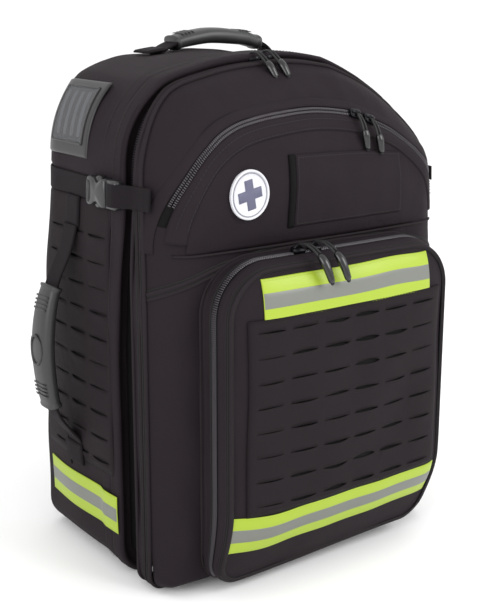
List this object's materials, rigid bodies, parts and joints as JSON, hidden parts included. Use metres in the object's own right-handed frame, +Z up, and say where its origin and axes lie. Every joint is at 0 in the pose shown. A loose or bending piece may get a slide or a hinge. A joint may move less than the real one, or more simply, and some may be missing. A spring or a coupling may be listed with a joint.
{
  "type": "backpack",
  "caption": "Clamshell rescue backpack with arched lid, two front pockets, slotted panels, reflective tape, grip handles and shoulder harness.",
  "frame": {"origin": "centre of the bounding box at floor level", "axes": "+Z up, front pockets face -Y, +X to the right seen from the front"},
  "size_m": [0.4672, 0.35, 0.535],
  "materials": {
    "fabric": "matte woven nylon",
    "laminate": "laser-cut laminated nylon",
    "webbing": "ribbed webbing",
    "zip_tape": "woven zipper tape",
    "mesh_padding": "air mesh over foam",
    "plastic": "moulded acetal",
    "grip_rubber": "satin moulded rubber",
    "slider_metal": "black coated",
    "pull_cord": "moulded pull",
    "frame_plastic": "natural polyethylene",
    "reflective_tape": "fluorescent yellow with a silver stripe",
    "badge_white": "moulded rubber badge",
    "clear_film": "clear vinyl film"
  },
  "bodies": {
    "rear_compartment": {"rear_shell": "fabric", "frame_sheet": "frame_plastic", "divider_shelf": "fabric", "back_pad_left": "mesh_padding", "back_pad_right": "mesh_padding", "lumbar_pad": "mesh_padding", "side_slot_panel_left": "laminate", "side_slot_panel_right": "laminate", "side_tape_left": "reflective_tape", "side_tape_right": "reflective_tape", "side_strap_rear_left": "webbing", "side_strap_rear_right": "webbing", "side_buckle_female_left": "plastic", "side_buckle_female_right": "plastic", "card_frame": "fabric", "card_window": "clear_film", "main_zip_rear": "zip_tape"},
    "lid": {"lid_shell": "fabric", "main_zip_lid": "zip_tape", "arch_zip_tape": "zip_tape", "upper_pouch": "fabric", "pocket_gusset": "fabric", "pocket_zip_tape": "zip_tape"},
    "upper_flap": {"upper_flap": "fabric", "loop_panel": "laminate", "badge": "badge_white"},
    "pocket_cover": {"pocket_cover": "fabric", "front_slot_panel": "laminate", "front_tape_top": "reflective_tape", "front_tape_low": "reflective_tape"},
    "top_handle": {"top_handle_webbing": "webbing", "top_handle_grip": "grip_rubber"},
    "side_handle_left": {"side_handle_webbing_left": "webbing", "side_handle_grip_left": "grip_rubber"},
    "side_release_left": {"side_buckle_male_left": "plastic", "side_strap_lid_left": "webbing"},
    "shoulder_strap_left": {"shoulder_strap_left": "fabric"},
    "lower_strap_left": {"lower_strap_left": "plastic"},
    "sternum_half_left": {"sternum_half_left": "plastic"},
    "waist_wing_left": {"waist_wing_left": "fabric"},
    "main_slider_left": {"main_slider_left": "slider_metal"},
    "main_pull_left": {"main_pull_left": "pull_cord"},
    "arch_slider_left": {"arch_slider_left": "slider_metal"},
    "arch_pull_left": {"arch_pull_left": "pull_cord"},
    "pocket_slider_left": {"pocket_slider_left": "slider_metal"},
    "pocket_pull_left": {"pocket_pull_left": "pull_cord"},
    "side_handle_right": {"side_handle_webbing_right": "webbing", "side_handle_grip_right": "grip_rubber"},
    "side_release_right": {"side_buckle_male_right": "plastic", "side_strap_lid_right": "webbing"},
    "shoulder_strap_right": {"shoulder_strap_right": "fabric"},
    "lower_strap_right": {"lower_strap_right": "plastic"},
    "sternum_half_right": {"sternum_half_right": "plastic"},
    "waist_wing_right": {"waist_wing_right": "fabric"},
    "main_slider_right": {"main_slider_right": "slider_metal"},
    "main_pull_right": {"main_pull_right": "pull_cord"},
    "arch_slider_right": {"arch_slider_right": "slider_metal"},
    "arch_pull_right": {"arch_pull_right": "pull_cord"},
    "pocket_slider_right": {"pocket_slider_right": "slider_metal"},
    "pocket_pull_right": {"pocket_pull_right": "pull_cord"}
  },
  "joints": [
    {"name": "lid_hinge", "type": "hinge", "parent": "rear_compartment", "child": "lid", "pos_m": [0, -0.046, 0.004], "axis": [1, 0, 0], "range_deg": [0, 95]},
    {"name": "upper_flap_hinge", "type": "hinge", "parent": "lid", "child": "upper_flap", "pos_m": [0, -0.117, 0.338], "axis": [1, 0, 0], "range_deg": [0, 75]},
    {"name": "pocket_cover_hinge", "type": "hinge", "parent": "lid", "child": "pocket_cover", "pos_m": [0, -0.146, 0.011], "axis": [1, 0, 0], "range_deg": [0, 85]},
    {"name": "top_handle_hinge", "type": "hinge", "parent": "rear_compartment", "child": "top_handle", "pos_m": [0, 0.082, 0.5084], "axis": [1, 0, 0], "range_deg": [-17, 17]},
    {"name": "side_handle_hinge_left", "type": "hinge", "parent": "rear_compartment", "child": "side_handle_left", "pos_m": [-0.1921, 0.04, 0.236], "axis": [0, 0, 1], "range_deg": [-25, 25]},
    {"name": "side_release_slide_left", "type": "slide", "parent": "lid", "child": "side_release_left", "axis": [0, -1, 0], "range_m": [0, 0.026]},
    {"name": "shoulder_strap_hinge_left", "type": "hinge", "parent": "rear_compartment", "child": "shoulder_strap_left", "pos_m": [-0.07, 0.1283, 0.472], "axis": [1, 0, 0], "range_deg": [0, 8]},
    {"name": "lower_strap_hinge_left", "type": "hinge", "parent": "rear_compartment", "child": "lower_strap_left", "pos_m": [-0.092, 0.1283, 0.123], "axis": [1, 0, 0], "range_deg": [-36, 0]},
    {"name": "sternum_slide_left", "type": "slide", "parent": "shoulder_strap_left", "child": "sternum_half_left", "axis": [0, 0, 1], "range_m": [-0.03, 0.03]},
    {"name": "waist_wing_hinge_left", "type": "hinge", "parent": "rear_compartment", "child": "waist_wing_left", "pos_m": [-0.16, 0.1283, 0.086], "axis": [0, 0, 1], "range_deg": [0, 90]},
    {"name": "side_handle_hinge_right", "type": "hinge", "parent": "rear_compartment", "child": "side_handle_right", "pos_m": [0.1921, 0.04, 0.236], "axis": [0, 0, 1], "range_deg": [-25, 25]},
    {"name": "side_release_slide_right", "type": "slide", "parent": "lid", "child": "side_release_right", "axis": [0, -1, 0], "range_m": [0, 0.026]},
    {"name": "shoulder_strap_hinge_right", "type": "hinge", "parent": "rear_compartment", "child": "shoulder_strap_right", "pos_m": [0.07, 0.1283, 0.472], "axis": [1, 0, 0], "range_deg": [0, 8]},
    {"name": "lower_strap_hinge_right", "type": "hinge", "parent": "rear_compartment", "child": "lower_strap_right", "pos_m": [0.092, 0.1283, 0.123], "axis": [1, 0, 0], "range_deg": [-36, 0]},
    {"name": "sternum_slide_right", "type": "slide", "parent": "shoulder_strap_right", "child": "sternum_half_right", "axis": [0, 0, 1], "range_m": [-0.03, 0.03]},
    {"name": "waist_wing_hinge_right", "type": "hinge", "parent": "rear_compartment", "child": "waist_wing_right", "pos_m": [0.16, 0.1283, 0.086], "axis": [0, 0, 1], "range_deg": [-90, 0]},
    {"name": "main_slider_track_left", "type": "hinge", "parent": "rear_compartment", "child": "main_slider_left", "pos_m": [0, -0.046, 0.157], "axis": [0, 1, 0], "range_deg": [-13, 0]},
    {"name": "main_slider_track_right", "type": "hinge", "parent": "rear_compartment", "child": "main_slider_right", "pos_m": [0, -0.046, 0.157], "axis": [0, 1, 0], "range_deg": [0, 17]},
    {"name": "arch_slider_track_left", "type": "hinge", "parent": "upper_flap", "child": "arch_slider_left", "pos_m": [0, -0.115, 0.111], "axis": [0, 1, 0], "range_deg": [-23, 0]},
    {"name": "arch_slider_track_right", "type": "hinge", "parent": "upper_flap", "child": "arch_slider_right", "pos_m": [0, -0.115, 0.111], "axis": [0, 1, 0], "range_deg": [0, 4]},
    {"name": "pocket_slider_track_left", "type": "slide", "parent": "pocket_cover", "child": "pocket_slider_left", "axis": [1, 0, 0], "range_m": [-0.05, 0]},
    {"name": "pocket_slider_track_right", "type": "slide", "parent": "pocket_cover", "child": "pocket_slider_right", "axis": [1, 0, 0], "range_m": [0, 0.09]},
    {"name": "main_pull_hinge_left", "type": "hinge", "parent": "main_slider_left", "child": "main_pull_left", "pos_m": [-0.024, -0.0537, 0.5134], "axis": [1, 0, 0], "range_deg": [-70, 0]},
    {"name": "main_pull_hinge_right", "type": "hinge", "parent": "main_slider_right", "child": "main_pull_right", "pos_m": [-0.008, -0.0537, 0.5141], "axis": [1, 0, 0], "range_deg": [-70, 0]},
    {"name": "arch_pull_hinge_left", "type": "hinge", "parent": "arch_slider_left", "child": "arch_pull_left", "pos_m": [0.05, -0.1193, 0.4514], "axis": [1, 0, 0], "range_deg": [-70, 0]},
    {"name": "arch_pull_hinge_right", "type": "hinge", "parent": "arch_slider_right", "child": "arch_pull_right", "pos_m": [0.068, -0.1193, 0.4483], "axis": [1, 0, 0], "range_deg": [-70, 0]},
    {"name": "pocket_pull_hinge_left", "type": "hinge", "parent": "pocket_slider_left", "child": "pocket_pull_left", "pos_m": [-0.042, -0.1644, 0.3344], "axis": [1, 0, 0], "range_deg": [-70, 0]},
    {"name": "pocket_pull_hinge_right", "type": "hinge", "parent": "pocket_slider_right", "child": "pocket_pull_right", "pos_m": [-0.022, -0.1644, 0.3344], "axis": [1, 0, 0], "range_deg": [-70, 0]}
  ],
  "couplings": [
    {"joint": "lower_strap_hinge_left", "follows": "shoulder_strap_hinge_left", "ratio": -4.4},
    {"joint": "lower_strap_hinge_right", "follows": "shoulder_strap_hinge_right", "ratio": -4.4}
  ]
}
